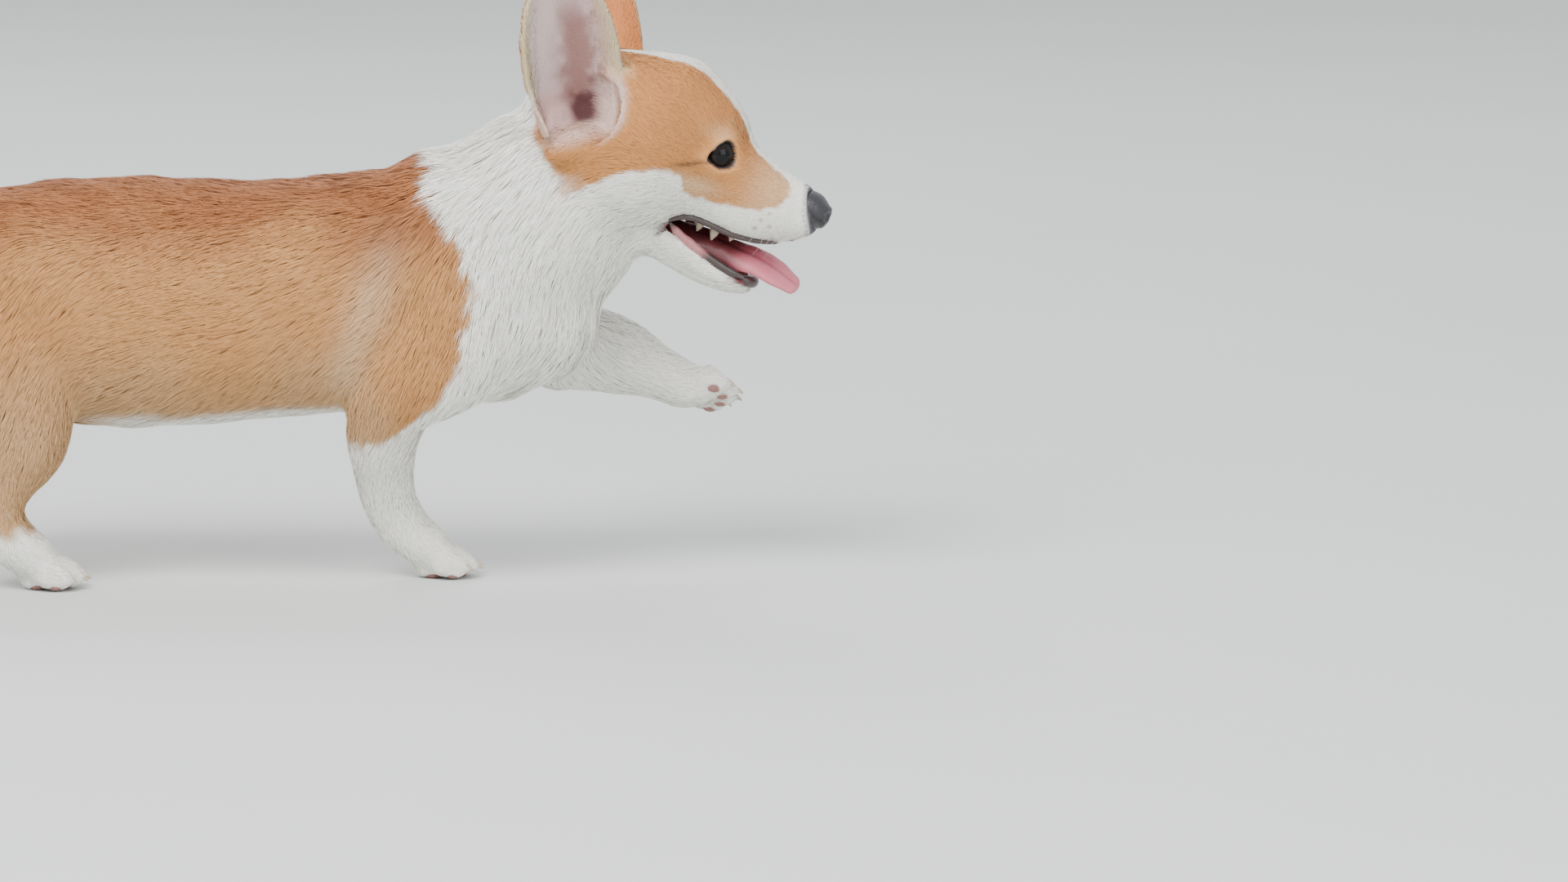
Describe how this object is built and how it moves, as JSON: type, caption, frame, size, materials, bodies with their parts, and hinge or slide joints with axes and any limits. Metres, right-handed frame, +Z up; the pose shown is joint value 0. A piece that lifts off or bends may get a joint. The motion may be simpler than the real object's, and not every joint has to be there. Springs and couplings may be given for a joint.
{
  "type": "pembroke welsh corgi puppy",
  "caption": "Life-size still model of a short-legged, prick-eared puppy at a trot, one foreleg raised and mouth open, resting on its other feet.",
  "frame": {"origin": "on the floor under the middle of the whole model's box", "axes": "+X forward toward the nose, +Y to the dog's left, +Z up"},
  "size_m": [0.5452, 0.14, 0.332],
  "materials": {
    "tan_coat": "short soft tan fur, redder along the back",
    "face_coat": "short smooth orange fur with white markings",
    "white_coat": "soft white fur",
    "tongue_skin": "moist pink",
    "nose_leather": "moist pebbled black",
    "eye": "glossy very dark brown"
  },
  "bodies": {
    "root": {"head": "face_coat", "lower_jaw": "white_coat", "tongue": "tongue_skin", "nose": "nose_leather", "eye_right": "eye", "eye_left": "eye", "ear_right": "face_coat", "ear_left": "face_coat", "neck": "white_coat", "torso": "tan_coat", "tail": "tan_coat", "thigh_right": "tan_coat", "thigh_left": "tan_coat", "foreleg_right": "white_coat", "foreleg_left": "white_coat", "hindleg_right": "tan_coat", "hindleg_left": "tan_coat", "forepaw_right": "white_coat", "forepaw_left": "white_coat", "hindpaw_right": "white_coat", "hindpaw_left": "white_coat"}
  },
  "joints": []
}
